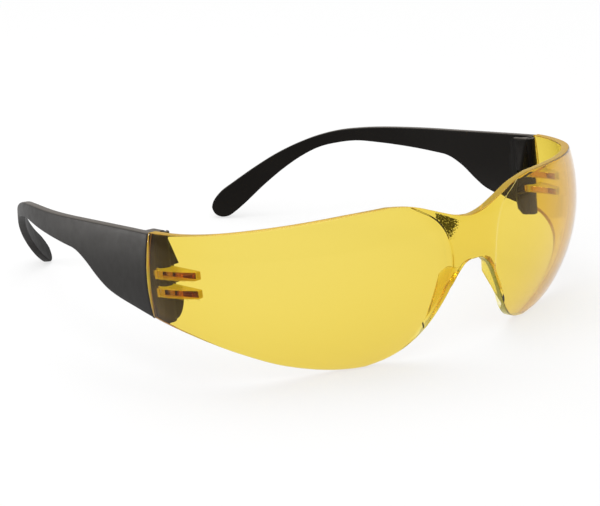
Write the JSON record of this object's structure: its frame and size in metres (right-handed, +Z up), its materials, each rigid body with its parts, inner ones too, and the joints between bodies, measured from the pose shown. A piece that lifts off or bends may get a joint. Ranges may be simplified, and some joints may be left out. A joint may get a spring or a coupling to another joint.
{
  "type": "safety glasses",
  "caption": "Frameless wrap-around safety glasses: one-piece tinted lens with moulded nose bridge, and temples folding on steel hinge pins.",
  "frame": {"origin": "middle of the glasses' footprint on the surface they stand on, lens lower edge and both ear tips touching it", "axes": "+X towards the wearer's left hinge, +Y from the lens back to the ear tips, +Z up; the mirror plane is X = 0"},
  "size_m": [0.14, 0.1557, 0.0417],
  "materials": {
    "lens": "clear amber-yellow polycarbonate, polished",
    "temple": "black moulded plastic, satin",
    "pin": "bright steel"
  },
  "bodies": {
    "lens_front": {"lens_shield": "lens"},
    "left_temple": {"temple_left": "temple", "hinge_pin_left": "pin"},
    "right_temple": {"temple_right": "temple", "hinge_pin_right": "pin"}
  },
  "joints": [
    {"name": "left_temple_fold", "type": "hinge", "parent": "lens_front", "child": "left_temple", "pos_m": [-0.0645, -0.03576, 0.02829], "axis": [0, -0.0863, -0.9963], "range_deg": [0, 82]},
    {"name": "right_temple_fold", "type": "hinge", "parent": "lens_front", "child": "right_temple", "pos_m": [0.0645, -0.03576, 0.02829], "axis": [0, 0.0863, 0.9963], "range_deg": [0, 72]}
  ]
}
